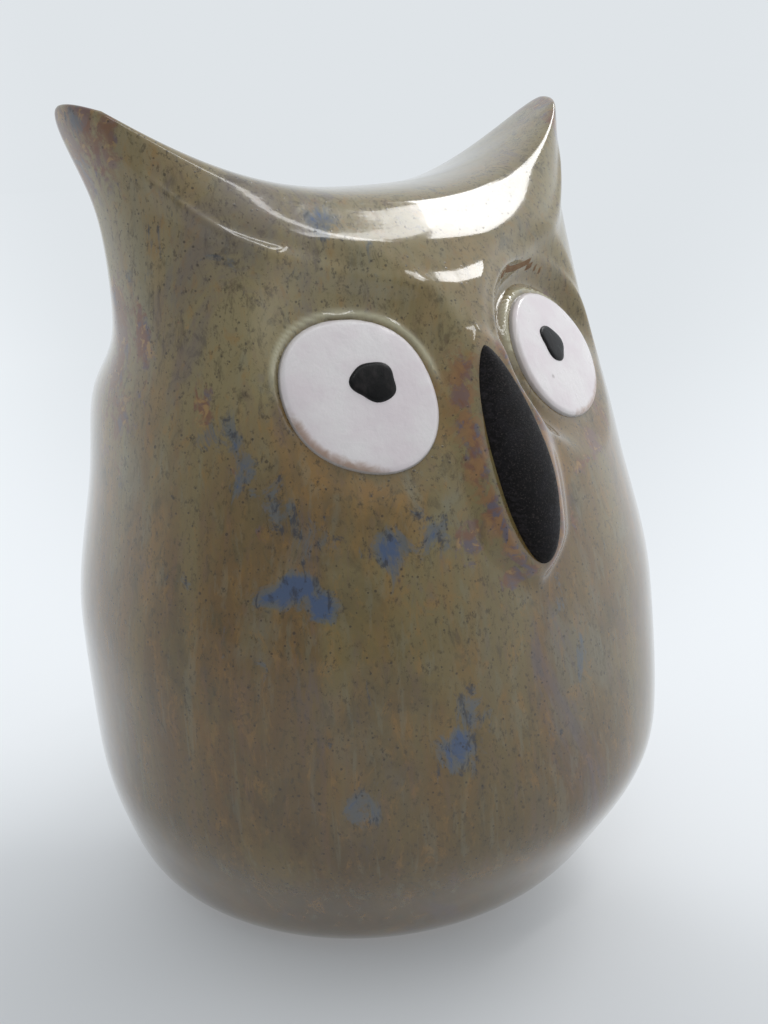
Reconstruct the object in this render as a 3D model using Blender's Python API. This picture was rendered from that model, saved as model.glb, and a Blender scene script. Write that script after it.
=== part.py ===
"""Owl coin bank: a hollow, hand-pinched stoneware owl with a soft bung in its foot.

One clay shell makes the body. Its skin is a lofted pot: rings at a few heights, each with its own
half width, depth in front, depth behind and middle, so the pot runs from a round foot to a head
that is pinched flat from front to back. Near the top each ring also rises toward its sides, which
draws the two ears out of the pot's corners. The eyes sit in two pressed sockets with a nose ridge
between them, and the beak sits on a raised mound of clay.

Frame: the owl faces -Y, +X is the owl's own left, +Z is up. The origin is on the table, under the
middle of the bounding box. Lengths are in millimetres here, and metres in the scene.
"""

import math

import bmesh
import bpy
import numpy as np
from mathutils import Vector
from mathutils.bvhtree import BVHTree

MM = 0.001
GAP = 0.3  # clearance that touching pieces keep

# The pot, ring by ring: height, half width, depth in front, depth behind, y of the ring's middle,
# rise of the ears (0 to about 1), and the roundness of its front and back (0.5 is an ellipse)
RINGS = np.array([
    (0.0, 35.0, 35.0, 35.0, 6.5, 0.00, 0.50, 0.50),
    (2.5, 38.0, 38.0, 38.0, 5.0, 0.00, 0.50, 0.50),
    (10.0, 41.5, 41.5, 41.5, 3.0, 0.00, 0.50, 0.50),
    (26.0, 45.5, 45.5, 45.5, -0.3, 0.00, 0.50, 0.50),
    (46.0, 46.0, 41.5, 46.0, -0.3, 0.00, 0.45, 0.50),
    (69.0, 42.0, 37.5, 39.0, 2.0, 0.05, 0.45, 0.53),
    (80.0, 40.5, 33.0, 36.5, 2.2, 0.03, 0.45, 0.52),
    (90.0, 38.0, 27.5, 25.0, 1.1, 0.00, 0.45, 0.56),
    (100.0, 38.0, 23.5, 14.0, 3.5, 0.82, 0.45, 0.60),
    (104.0, 43.7, 23.5, 14.0, 6.0, 1.16, 0.50, 0.60),
    (107.5, 38.5, 23.5, 14.0, -2.8, 0.96, 0.50, 0.60),
])
CAP_START = 100.0  # above this height the head closes in an elliptical ridge from ear to ear
TOP = 107.5
SOFTEN = 2.0  # how far the clay rounds off each ring's bend
EAR_X = 43.0
EAR_RISE = 14.8
EAR_LEAN = 1.3
EAR_POWER = 2.5

# Eyes
EYE_X, EYE_Y, EYE_Z = 17.3, -23.9, 83.1
EYE_TURN = math.radians(17.5)  # each eye looks this far outward
EYE_TILT = math.radians(29.3)  # and this far up
EYE_RADIUS = {-1: 10.2, 1: 9.7}
EYE_THICK = 1.3
EYE_EDGE = 0.7
EYE_OVAL, EYE_SQUARE = 0.045, 0.02  # the right eye's rim is cut a little oval and square
EYE_LEAN = math.radians(42)
EYE_SAG = 0.11  # how much farther the right eye's rim hangs out, low on its inner side
EYE_SAG_TURN, EYE_SAG_WIDTH = math.radians(-68), math.radians(38)
PUPIL_RADIUS = 2.7
PUPIL_THICK = 0.5
PUPIL_EDGE_DROP = 0.5  # share of its thickness that a pupil loses at its rim
PUPIL_OVAL, PUPIL_CORNERS = 0.05, 0.03
PUPIL_SHIFT = {-1: (1.9, 0.9), 1: (-0.9, 1.5)}  # across and up in the disc, from its middle
SOCKET_BED = 10.4  # radius of the flat bed that a disc lies on
SOCKET_SLOPE = 0.055
SOCKET_BLEND = 1.6
SOCKET_REACH, SOCKET_DEPTH = 30.0, 12.0  # only clay this near a bed is pressed

# Beak and the mound under it, as heights along the owl's middle line
BEAK_TOP_Z, BEAK_LOW_Z = 87.4, 60.1
BEAK_HALF_WIDTH = 4.3
BEAK_LOW_SET, BEAK_BLUNT = 1.15, 0.56  # how low its widest part is, and how blunt its ends are
BEAK_THICK, BEAK_EDGE = 2.2, 0.6
MOUND_MARGIN = 2.8
MOUND_RISE_TOP, MOUND_RISE_LOW = 0.8, 1.8
MOUND_STEP = 3.6  # width of the soft step around the mound
MOUND_FADE_TOP, MOUND_FADE_LOW = 2.0, 1.6  # how far its ends fade out, in margins
MOUND_DIRECTION = np.array([0.0, -0.985, 0.17])

# Shell
WALL = 4.8
FACE_WALL = 6.5  # thicker behind the face, where the sockets are pressed in
FLOOR_TOP = 9.0
FACE_WALL_Z, FACE_WALL_BLEND = 50.0, 15.0  # the wall thickens from this height up
CAVITY_TOP = 95.0
CAVITY_ROOF_Z, CAVITY_ROOF_POWER = 72.0, 2.2  # the hollow draws in from this height up
CAVITY_FLOOR_ROUND, CAVITY_FLOOR_SHARE = 9.0, 0.72
FOOT_MIDDLE_Y = 6.5
FOOT_RECESS_RADIUS = 29.5
FOOT_RECESS_DEPTH = 3.4
BUNG_HOLE_RADIUS = 16.6
FOOT_CUT_BELOW, FOOT_CUT_ABOVE = 5.0, 4.0  # how far the foot's cutters run past the clay

# Coin slot, cut straight through the back of the head
SLOT_LENGTH, SLOT_HEIGHT = 38.0, 5.2
SLOT_Z = 83.0
SLOT_FROM_Y, SLOT_TO_Y = 12.0, 60.0

# Stopper, a turned rubber bung
FLANGE_RADIUS, FLANGE_LOW, FLANGE_THICK = 20.0, 0.9, 2.0
SKIRT_RADIUS, SKIRT_TOP, SKIRT_WALL = 15.9, 12.0, 2.0
RIB_RISE, RIB_HALF = 0.4, 0.8
RIB_HEIGHTS = (6.0, 10.0)
CUP_CEILING = 9.5
GRIP_WIDTH = 4.0

# Mesh spacing
COLUMNS = 64
CAVITY_COLUMNS, CAVITY_ROWS = 40, 22
CUTTER_SIDES = 48

COLORS = {
    "glaze": (0.16, 0.135, 0.065, 0.12, 0.0),
    "eye_white": (0.66, 0.60, 0.61, 0.35, 0.0),
    "black_clay": (0.012, 0.011, 0.011, 0.6, 0.0),
    "rubber": (0.02, 0.02, 0.021, 0.55, 0.0),
}


def material(name, look):
    red, green, blue, roughness, metallic = COLORS[look]
    made = bpy.data.materials.new(name)
    made.use_nodes = True
    shader = made.node_tree.nodes["Principled BSDF"]
    shader.inputs["Base Color"].default_value = (red, green, blue, 1.0)
    shader.inputs["Roughness"].default_value = roughness
    shader.inputs["Metallic"].default_value = metallic
    made.diffuse_color = (red, green, blue, 1.0)
    return made


def mesh_object(name, points_mm, faces, look=None):
    """An object from points in millimetres, with its faces turned outward."""
    mesh = bpy.data.meshes.new(name)
    mesh.from_pydata([tuple(float(v) * MM for v in p) for p in points_mm], [], faces)
    work = bmesh.new()
    work.from_mesh(mesh)
    bmesh.ops.remove_doubles(work, verts=work.verts, dist=1e-6)
    bmesh.ops.recalc_face_normals(work, faces=work.faces)
    work.to_mesh(mesh)
    work.free()
    mesh.shade_smooth()
    mesh.set_sharp_from_angle(angle=math.radians(40))
    made = bpy.data.objects.new(name, mesh)
    bpy.context.scene.collection.objects.link(made)
    if look:
        mesh.materials.append(material(name, look))
    return made


def hide_cutter(cutter):
    cutter.hide_render = True
    cutter.display_type = "WIRE"


def cut(target, cutter, operation="DIFFERENCE"):
    change = target.modifiers.new(operation.lower() + "_" + cutter.name, "BOOLEAN")
    change.operation = operation
    change.solver = "EXACT"
    change.object = cutter
    hide_cutter(cutter)


def monotone(x, xs, ys):
    """A smooth curve through the points (xs, ys) that never swings past them."""
    step = np.diff(xs)
    rise = np.diff(ys) / step
    slope = np.zeros(len(xs))
    bends = rise[:-1] * rise[1:] > 0
    before = 2 * step[1:] + step[:-1]
    after = step[1:] + 2 * step[:-1]
    both = (before + after)[bends]
    slope[1:-1][bends] = both / (before[bends] / rise[:-1][bends] + after[bends] / rise[1:][bends])
    slope[0], slope[-1] = rise[0], rise[-1]
    k = np.clip(np.searchsorted(xs, x, side="right") - 1, 0, len(xs) - 2)
    u = (x - xs[k]) / step[k]
    return ((1 + 2 * u) * (1 - u) ** 2 * ys[k] + u * (1 - u) ** 2 * step[k] * slope[k]
            + u * u * (3 - 2 * u) * ys[k + 1] + u * u * (u - 1) * step[k] * slope[k + 1])


def ring_value(column, height):
    """One column of the ring table at any height, with its bends softened."""
    pitch, margin = 0.25, 32
    count = int(TOP / pitch) + 1
    fine = (np.arange(count + 2 * margin) - margin) * pitch
    values = monotone(np.clip(fine, 0, TOP), RINGS[:, 0], RINGS[:, column])
    first, last = margin, margin + count - 1
    low_slope = (values[first + 1] - values[first]) / pitch
    top_slope = (values[last] - values[last - 1]) / pitch
    values = values + np.minimum(fine, 0) * low_slope + np.maximum(fine - TOP, 0) * top_slope
    reach = np.arange(-24, 25) * pitch
    bell = np.exp(-0.5 * (reach / SOFTEN) ** 2)
    return np.interp(height, fine, np.convolve(values, bell / bell.sum(), mode="same"))


def pot(height, angle):
    """Points of the plain pinched pot. The angle is 0 in front and positive toward +X."""
    height, angle = np.broadcast_arrays(np.asarray(height, float), np.asarray(angle, float))
    half, front, back, middle, lift, front_power, back_power = [
        ring_value(column, height) for column in range(1, 8)
    ]
    into_cap = np.clip((height - CAP_START) / (TOP - CAP_START), 0, 1)
    closing = np.sqrt(1 - into_cap ** 2)
    x = half * np.sin(angle)
    across = np.clip(np.cos(angle) ** 2, 0, 1)
    ahead = -front * closing * across ** front_power
    behind = back * closing * across ** back_power
    y = middle + np.where(np.cos(angle) >= 0, ahead, behind) + EAR_LEAN * lift * (x / EAR_X) ** 2
    z = height + EAR_RISE * lift * np.abs(x / EAR_X) ** EAR_POWER
    return np.stack([x, y, z], -1)


def eye_frame(side):
    """The middle of an eye's bed, and its across, up and outward directions."""
    outward = np.array([side * math.sin(EYE_TURN) * math.cos(EYE_TILT),
                        -math.cos(EYE_TURN) * math.cos(EYE_TILT), math.sin(EYE_TILT)])
    across = np.cross((0.0, 0.0, 1.0), outward)
    across /= np.linalg.norm(across)
    return np.array([side * EYE_X, EYE_Y, EYE_Z]), across, np.cross(outward, across), outward


def lower_of(a, b, blend):
    """The smaller of a and b, with a fillet where they cross."""
    overlap = np.maximum(blend - np.abs(a - b), 0) / blend
    return np.minimum(a, b) - overlap ** 2 * blend / 4


def smooth_step(value):
    value = np.clip(value, 0, 1)
    return value * value * (3 - 2 * value)


def press_sockets(points, in_front):
    """Press a shallow bowl with a flat bed into the face for each eye."""
    for side in (-1, 1):
        middle, across, up, outward = eye_frame(side)
        offset = points - middle
        height = offset @ outward
        radius = np.hypot(offset @ across, offset @ up)
        bowl = SOCKET_SLOPE * np.maximum(radius - SOCKET_BED, 0) ** 2
        near = in_front & (radius < SOCKET_REACH) & (height > -SOCKET_DEPTH)
        drop = np.where(near, height - lower_of(height, bowl, SOCKET_BLEND), 0)
        points = points - drop[..., None] * outward
    return points


def beak_half_width(along):
    """Half width of the almond beak, from 0 at its top to 1 at its lower tip."""
    along = np.clip(along, 0, 1)
    return BEAK_HALF_WIDTH * np.maximum(np.sin(math.pi * along ** BEAK_LOW_SET), 0) ** BEAK_BLUNT


def raise_mound(points, in_front):
    """Raise the clay under the beak, with a soft step around it."""
    length = BEAK_TOP_Z - BEAK_LOW_Z
    along = (BEAK_TOP_Z - points[..., 2]) / length
    inside = MOUND_MARGIN / length
    to_end = np.minimum(along + inside, 1 + inside - along)
    half = beak_half_width((along + inside) / (1 + 2 * inside))
    half = half + MOUND_MARGIN * smooth_step(to_end / (2 * inside))
    rise = MOUND_RISE_TOP + (MOUND_RISE_LOW - MOUND_RISE_TOP) * smooth_step(along)
    inward = half - np.abs(points[..., 0])
    amount = np.where(in_front, rise * smooth_step(inward / MOUND_STEP + 0.5), 0)
    fade_top, fade_low = MOUND_FADE_TOP * inside, MOUND_FADE_LOW * inside
    amount = amount * smooth_step((along + fade_top) / fade_top)
    amount = amount * smooth_step((1 + fade_low - along) / fade_low)
    return points + amount[..., None] * MOUND_DIRECTION


def owl_skin(height, angle):
    points = pot(height, angle)
    in_front = np.broadcast_to(np.cos(angle) > 0, points.shape[:-1])
    return raise_mound(press_sockets(points, in_front), in_front)


def grid_faces(rows, columns):
    """Quads between the rings of a closed tube of points."""
    faces = []
    for row in range(rows - 1):
        for column in range(columns):
            after = (column + 1) % columns
            low, high = row * columns, (row + 1) * columns
            faces.append((low + column, low + after, high + after, high + column))
    return faces


def skin_mesh():
    """The outer skin: rings close together at the foot and at the ears, wider apart between."""
    heights = np.concatenate([
        (0.0, 1.0, 2.5, 5.0, 8.0, 12.0, 16.5, 21.0),
        np.linspace(26.0, 56.0, 8),
        np.linspace(59.0, 98.0, 15),
        (99.6, 101.0, 102.2, 103.3, 104.3, 105.2, 106.0, 106.7, 107.2, TOP),
    ])
    angles = np.arange(COLUMNS) * 2 * math.pi / COLUMNS
    points = owl_skin(heights[:, None], angles[None, :])
    faces = grid_faces(len(heights), COLUMNS)
    faces.append(tuple(reversed(range(COLUMNS))))
    return points.reshape(-1, 3), faces


def cavity_mesh():
    """The hollow: a smooth pot inside the skin that stops below the ears."""
    levels = np.linspace(0, 1, CAVITY_ROWS)
    rounded = 0.5 - 0.5 * np.cos(math.pi * levels)
    heights = FLOOR_TOP + (CAVITY_TOP - FLOOR_TOP) * rounded
    half, front, back, middle = [ring_value(column, heights) for column in range(1, 5)]
    face_share = smooth_step((heights - FACE_WALL_Z) / FACE_WALL_BLEND)
    from_floor = np.clip((heights - FLOOR_TOP) / CAVITY_FLOOR_ROUND, 0, 1)
    into_roof = np.clip((heights - CAVITY_ROOF_Z) / (CAVITY_TOP - CAVITY_ROOF_Z), 0, 1)
    floor_round = np.sqrt(np.clip(1 - (1 - from_floor) ** 2, 0, 1))
    roof_round = np.sqrt(np.clip(1 - into_roof ** CAVITY_ROOF_POWER, 0, 1))
    shrink = (CAVITY_FLOOR_SHARE + (1 - CAVITY_FLOOR_SHARE) * floor_round) * roof_round
    angles = np.arange(CAVITY_COLUMNS) * 2 * math.pi / CAVITY_COLUMNS
    depth_front = front - WALL - (FACE_WALL - WALL) * face_share
    x = ((half - WALL) * shrink)[:, None] * np.sin(angles)
    ahead = -(depth_front * shrink)[:, None] * np.cos(angles)
    behind = -((back - WALL) * shrink)[:, None] * np.cos(angles)
    y = middle[:, None] + np.where(np.cos(angles) > 0, ahead, behind)
    z = np.broadcast_to(heights[:, None], x.shape)
    points = np.stack([x, y, z], -1)
    faces = grid_faces(CAVITY_ROWS, CAVITY_COLUMNS)
    faces.append(tuple(reversed(range(CAVITY_COLUMNS))))
    return points.reshape(-1, 3), faces


def disc_cutter(name, radius, low, high):
    """A round cutter standing on the foot's middle."""
    sides = CUTTER_SIDES
    turns = [2 * math.pi * k / sides for k in range(sides)]
    ring = [(radius * math.cos(t), FOOT_MIDDLE_Y + radius * math.sin(t)) for t in turns]
    points = [(x, y, low) for x, y in ring] + [(x, y, high) for x, y in ring]
    faces = grid_faces(2, sides)
    faces.append(tuple(reversed(range(sides))))
    faces.append(tuple(range(sides, 2 * sides)))
    return mesh_object(name, points, faces)


def slot_cutter():
    """The coin slot's core: a bar with round ends that runs back out of the hollow."""
    radius, straight, steps = SLOT_HEIGHT / 2, SLOT_LENGTH / 2 - SLOT_HEIGHT / 2, 8
    outline = []
    for side, start in ((1, -90), (-1, 90)):
        for k in range(steps + 1):
            turn = math.radians(start + 180 * k / steps)
            outline.append((side * straight + radius * math.cos(turn),
                            SLOT_Z + radius * math.sin(turn)))
    count = len(outline)
    points = [(x, y, z) for y in (SLOT_FROM_Y, SLOT_TO_Y) for x, z in outline]
    faces = grid_faces(2, count)
    faces.append(tuple(reversed(range(count))))
    faces.append(tuple(range(count, 2 * count)))
    return mesh_object("coin_slot_core", points, faces)


def make_body(skin_points, skin_faces):
    body = mesh_object("body", skin_points, skin_faces, "glaze")
    cut(body, mesh_object("cavity_core", *cavity_mesh()))
    cut(body, disc_cutter("foot_recess_core", FOOT_RECESS_RADIUS, -FOOT_CUT_BELOW,
                          FOOT_RECESS_DEPTH))
    cut(body, disc_cutter("bung_hole_core", BUNG_HOLE_RADIUS, -FOOT_CUT_BELOW,
                          FLOOR_TOP + FOOT_CUT_ABOVE))
    cut(body, slot_cutter())
    return body


def patch(name, look, ground, across, up, inward, outline, thickness, rings, sides):
    """A laid-on piece: it follows the ground under it at GAP and has its own rounded top.

    outline(turn) gives (u, v) on the patch's rim, and thickness(share) its height above the
    ground, where share runs from 0 in the middle to 1 at the rim.
    """
    middle, tree = ground
    under, over = [], []
    for ring in range(rings + 1):
        share = math.sin(0.5 * math.pi * ring / rings)
        for side in range(sides):
            u, v = outline(2 * math.pi * side / sides)
            start = middle + share * (u * across + v * up) - 30 * inward
            hit, normal, _, _ = tree.ray_cast(Vector(start), Vector(inward))
            base = np.array(hit)
            under.append(base - GAP * inward)
            over.append(base - (GAP + thickness(share)) * inward)
    count = (rings + 1) * sides
    faces = []
    for low, flip in ((0, False), (count, True)):
        for face in grid_faces(rings + 1, sides):
            quad = tuple(low + k for k in face)
            faces.append(quad[::-1] if flip else quad)
    rim = rings * sides
    for side in range(sides):
        after = (side + 1) % sides
        faces.append((rim + side, rim + after, count + rim + after, count + rim + side))
    return mesh_object(name, under + over, faces, look)


def make_eye(side, word, skin_tree):
    middle, across, up, outward = eye_frame(side)
    radius = EYE_RADIUS[side]

    def eye_rim(turn):
        lean = turn + EYE_LEAN
        from_sag = (turn - EYE_SAG_TURN + math.pi) % (2 * math.pi) - math.pi
        uneven = 1 + EYE_OVAL * math.cos(2 * lean) + EYE_SQUARE * math.cos(4 * lean)
        uneven += EYE_SAG * math.exp(-(from_sag / EYE_SAG_WIDTH) ** 2)
        reach = radius * (uneven if side < 0 else 1.0)
        return reach * math.cos(turn), reach * math.sin(turn)

    def eye_dome(share):
        return EYE_EDGE + (EYE_THICK - EYE_EDGE) * math.sqrt(max(0.0, 1 - share ** 2))

    disc = patch("eye_white_" + word, "eye_white", (middle, skin_tree), across, up, -outward,
                 eye_rim, eye_dome, 5, 32)
    disc_tree = tree_of(disc)
    shift_across, shift_up = PUPIL_SHIFT[side]
    pupil_middle = middle + shift_across * across + shift_up * up

    def pupil_rim(turn):
        uneven = 1 + PUPIL_OVAL * math.cos(2 * turn) + PUPIL_CORNERS * math.cos(3 * turn)
        reach = PUPIL_RADIUS * uneven
        return reach * math.cos(turn), reach * math.sin(turn)

    def pupil_dome(share):
        return PUPIL_THICK * (1 - PUPIL_EDGE_DROP * share ** 3)

    patch("pupil_" + word, "black_clay", (pupil_middle, disc_tree), across, up, -outward,
          pupil_rim, pupil_dome, 3, 20)


def make_beak(skin_tree):
    """The beak: an almond laid on the mound along the owl's middle line."""
    length = BEAK_TOP_Z - BEAK_LOW_Z
    middle = np.array([0.0, 0.0, (BEAK_TOP_Z + BEAK_LOW_Z) / 2])
    across, up = np.array([1.0, 0.0, 0.0]), np.array([0.0, 0.0, 1.0])
    inward = np.array([0.0, 1.0, 0.0])

    def almond(turn):
        along = 0.5 - 0.5 * math.sin(turn)
        width = float(beak_half_width(along))
        side = 1 if math.cos(turn) >= 0 else -1
        return side * width, length * (0.5 - along)

    def beak_dome(share):
        return BEAK_EDGE + (BEAK_THICK - BEAK_EDGE) * math.sqrt(max(0.0, 1 - share ** 2))

    start = middle + np.array([0.0, -40.0, 0.0])
    patch("beak", "black_clay", (start, skin_tree), across, up, inward, almond, beak_dome, 5, 32)


def turned(name, profile, look, sides=40):
    """A turned solid about the Z axis from (radius, height) points, closed on the axis."""
    work = bmesh.new()
    verts = [work.verts.new((r * MM, 0.0, z * MM)) for r, z in profile]
    edges = [work.edges.new(pair) for pair in zip(verts, verts[1:])]
    bmesh.ops.spin(work, geom=verts + edges, cent=(0, 0, 0), axis=(0, 0, 1),
                   angle=2 * math.pi, steps=sides, use_duplicate=False)
    bmesh.ops.remove_doubles(work, verts=work.verts, dist=1e-6)
    bmesh.ops.recalc_face_normals(work, faces=work.faces)
    mesh = bpy.data.meshes.new(name)
    work.to_mesh(mesh)
    work.free()
    mesh.shade_smooth()
    mesh.set_sharp_from_angle(angle=math.radians(35))
    mesh.materials.append(material(name, look))
    made = bpy.data.objects.new(name, mesh)
    bpy.context.scene.collection.objects.link(made)
    return made


def make_stopper():
    """A soft bung: a flange under the floor, a ribbed skirt in the hole and a cup with a grip bar."""
    flange_top = FLANGE_LOW + FLANGE_THICK
    cup_radius = SKIRT_RADIUS - SKIRT_WALL
    profile = [
        (0.0, CUP_CEILING), (cup_radius - 0.8, CUP_CEILING), (cup_radius, CUP_CEILING - 0.8),
        (cup_radius, FLANGE_LOW + 0.5), (cup_radius + 0.5, FLANGE_LOW),
        (FLANGE_RADIUS - 0.6, FLANGE_LOW), (FLANGE_RADIUS, FLANGE_LOW + 0.6),
        (FLANGE_RADIUS, flange_top - 0.5), (FLANGE_RADIUS - 0.5, flange_top),
        (SKIRT_RADIUS, flange_top),
    ]
    for rib_z in RIB_HEIGHTS:
        profile += [(SKIRT_RADIUS, rib_z - RIB_HALF), (SKIRT_RADIUS + RIB_RISE, rib_z),
                    (SKIRT_RADIUS, rib_z + RIB_HALF)]
    profile += [(SKIRT_RADIUS, SKIRT_TOP - 0.9), (SKIRT_RADIUS - 0.9, SKIRT_TOP), (0.0, SKIRT_TOP)]
    stopper = turned("stopper", profile, "rubber")
    stopper.location = (0.0, FOOT_MIDDLE_Y * MM, 0.0)
    half_length, low, high = cup_radius + 1.0, FLANGE_LOW + 0.8, CUP_CEILING + 1.0
    half_width = GRIP_WIDTH / 2
    corners = [(x, FOOT_MIDDLE_Y + y, z) for z in (low, high)
               for x, y in ((-half_length, -half_width), (half_length, -half_width),
                            (half_length, half_width), (-half_length, half_width))]
    bar_faces = grid_faces(2, 4) + [(3, 2, 1, 0), (4, 5, 6, 7)]
    cut(stopper, mesh_object("grip_bar_core", corners, bar_faces), "UNION")
    return stopper


def tree_of(thing):
    mesh = thing.data
    points = [tuple(v.co / MM) for v in mesh.vertices]
    return BVHTree.FromPolygons(points, [tuple(f.vertices) for f in mesh.polygons])


def main():
    for thing in list(bpy.data.objects):
        bpy.data.objects.remove(thing, do_unlink=True)
    body = make_body(*skin_mesh())
    skin_tree = tree_of(body)
    make_eye(-1, "right", skin_tree)
    make_eye(1, "left", skin_tree)
    make_beak(skin_tree)
    make_stopper()


main()
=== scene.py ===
"""Looks for the owl coin bank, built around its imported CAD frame.

The glazed shell, its laid-on eyes and beak and the rubber bung are each rebuilt as a fine mesh
in the space that their CAD solids hold. Lengths are in millimetres until a mesh is made.
"""

import math

import bmesh
import bpy
import numpy as np
from mathutils import Matrix, Vector
from mathutils.bvhtree import BVHTree


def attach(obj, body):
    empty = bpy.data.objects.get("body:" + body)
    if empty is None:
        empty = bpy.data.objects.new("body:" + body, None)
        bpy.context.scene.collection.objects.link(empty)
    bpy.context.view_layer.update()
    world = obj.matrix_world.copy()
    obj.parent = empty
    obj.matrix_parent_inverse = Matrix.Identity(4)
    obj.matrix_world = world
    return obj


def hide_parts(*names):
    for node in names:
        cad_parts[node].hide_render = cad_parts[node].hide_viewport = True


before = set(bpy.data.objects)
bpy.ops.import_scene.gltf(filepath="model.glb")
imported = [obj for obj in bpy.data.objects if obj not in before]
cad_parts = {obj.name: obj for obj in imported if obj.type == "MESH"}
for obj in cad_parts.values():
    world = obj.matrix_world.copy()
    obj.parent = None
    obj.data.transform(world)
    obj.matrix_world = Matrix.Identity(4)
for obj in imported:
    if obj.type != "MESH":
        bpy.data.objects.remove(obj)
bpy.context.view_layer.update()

MM = 0.001

# ---------------------------------------------------------------- the owl's shape, as in its CAD

# Height, half width, depth in front, depth behind, y of the middle, ear rise, front and back powers
RINGS = np.array([
    (0.0, 35.0, 35.0, 35.0, 6.5, 0.00, 0.50, 0.50),
    (2.5, 38.0, 38.0, 38.0, 5.0, 0.00, 0.50, 0.50),
    (10.0, 41.5, 41.5, 41.5, 3.0, 0.00, 0.50, 0.50),
    (26.0, 45.5, 45.5, 45.5, -0.3, 0.00, 0.50, 0.50),
    (46.0, 46.0, 41.5, 46.0, -0.3, 0.00, 0.45, 0.50),
    (69.0, 42.0, 37.5, 39.0, 2.0, 0.05, 0.45, 0.53),
    (80.0, 40.5, 33.0, 36.5, 2.2, 0.03, 0.45, 0.52),
    (90.0, 38.0, 27.5, 25.0, 1.1, 0.00, 0.45, 0.56),
    (100.0, 38.0, 23.5, 14.0, 3.5, 0.82, 0.45, 0.60),
    (104.0, 43.7, 23.5, 14.0, 6.0, 1.16, 0.50, 0.60),
    (107.5, 38.5, 23.5, 14.0, -2.8, 0.96, 0.50, 0.60),
])
CAP_START, TOP, SOFTEN = 100.0, 107.5, 2.0
EAR_X, EAR_RISE, EAR_LEAN, EAR_POWER = 43.0, 14.8, 1.3, 2.5
EYE_X, EYE_Y, EYE_Z = 17.3, -23.9, 83.1
EYE_TURN, EYE_TILT = math.radians(17.5), math.radians(29.3)
EYE_RADIUS = {-1: 10.2, 1: 9.7}
EYE_OVAL, EYE_SQUARE, EYE_LEAN = 0.045, 0.02, math.radians(42)
EYE_SAG, EYE_SAG_TURN, EYE_SAG_WIDTH = 0.11, math.radians(-68), math.radians(38)
PUPIL_SHIFT = {-1: (1.9, 0.9), 1: (-0.9, 1.5)}
SOCKET_BED, SOCKET_SLOPE, SOCKET_BLEND = 10.4, 0.055, 1.6
SOCKET_REACH, SOCKET_DEPTH = 30.0, 12.0
BEAK_TOP_Z, BEAK_LOW_Z, BEAK_HALF_WIDTH, BEAK_LOW_SET = 87.4, 60.1, 4.3, 1.15
MOUND_MARGIN, MOUND_RISE_TOP, MOUND_RISE_LOW, MOUND_STEP = 2.8, 0.8, 1.8, 3.6
MOUND_FADE_TOP, MOUND_FADE_LOW = 2.0, 1.6
MOUND_DIRECTION = np.array([0.0, -0.985, 0.17])
WALL, FACE_WALL, FACE_WALL_Z, FACE_WALL_BLEND = 4.8, 6.5, 50.0, 15.0
FLOOR_TOP, CAVITY_TOP, CAVITY_ROOF_Z, CAVITY_ROOF_POWER = 9.0, 95.0, 72.0, 2.2
CAVITY_FLOOR_ROUND, CAVITY_FLOOR_SHARE = 9.0, 0.72
FOOT_MIDDLE_Y, FOOT_RECESS_RADIUS, FOOT_RECESS_DEPTH, BUNG_HOLE_RADIUS = 6.5, 29.5, 3.4, 16.6
SLOT_LENGTH, SLOT_HEIGHT, SLOT_Z = 38.0, 5.2, 83.0

# ---------------------------------------------------------------- finer shape than the CAD has

BEAK_BLUNT = 0.52  # a little blunter than the CAD's beak
LEFT_EYE_UNEVEN, LEFT_EYE_LEAN = 0.015, 1.0
# The thin lip and groove over each eye disc
LIP_RISE, LIP_PLACE, LIP_WIDTH, LIP_LEAN = 0.28, 0.75, 0.42, math.radians(-10)
GROOVE_DEPTH, GROOVE_PLACE, GROOVE_WIDTH = 0.25, 0.1, 0.35
LIP_START, LIP_FADE = 0.55, 0.6
# The pressed channel and its crest around the left eye
CHANNEL_DEPTH, CHANNEL_FROM, CHANNEL_WIDTH, CHANNEL_POWER = 1.25, 0.3, 4.8, 0.8
CREST_RISE, CREST_WIDTH = 0.5, 0.9
CHANNEL_LEAN, CHANNEL_START, CHANNEL_FADE = math.radians(25), 0.75, 0.9
# The brow's edge: its height at distances out from the middle, then its own size
BROW_ACROSS = np.array([0.0, 2.0, 8.0, 15.0, 21.0, 27.0, 31.0, 35.0, 38.0, 45.0])
BROW_HEIGHT = np.array([94.6, 94.8, 95.5, 96.9, 99.0, 101.6, 104.6, 108.9, 112.6, 121.0])
BROW_RISE, BROW_WIDTH = 0.75, 1.5
BROW_END, BROW_END_FADE = 40.5, 6
BROW_MIDDLE_SHARE, BROW_MIDDLE_FROM, BROW_MIDDLE_FADE = 0.6, 4, 8
BROW_DIRECTION = np.array([0.0, -0.85, 0.5])
WAVE_DEPTH, WAVE_FOOT_FADE, WAVE_TOP_FADE = 0.16, 8, 6
WAVE_CENTER = np.array([0.0, 0.0, 60.0])
SLOT_ROLL = 1.6
# Laid-on pieces: thickness in the middle, thickness near the rim, and the share that rolls down
EYE_EDGE = (1.25, 0.62, 0.07)
PUPIL_EDGE = (0.38, 0.22, 0.2)
BEAK_EDGE = (2.9, 0.8, 0.16)
EYE_BLEED_TURN = {-1: math.radians(-125), 1: math.radians(-60)}
PUPIL_SIZE = {-1: (3.05, 2.65, math.radians(-16)), 1: (2.3, 2.8, math.radians(12))}
PUPIL_LUMP = {-1: 2.6, 1: 0.5}


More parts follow.
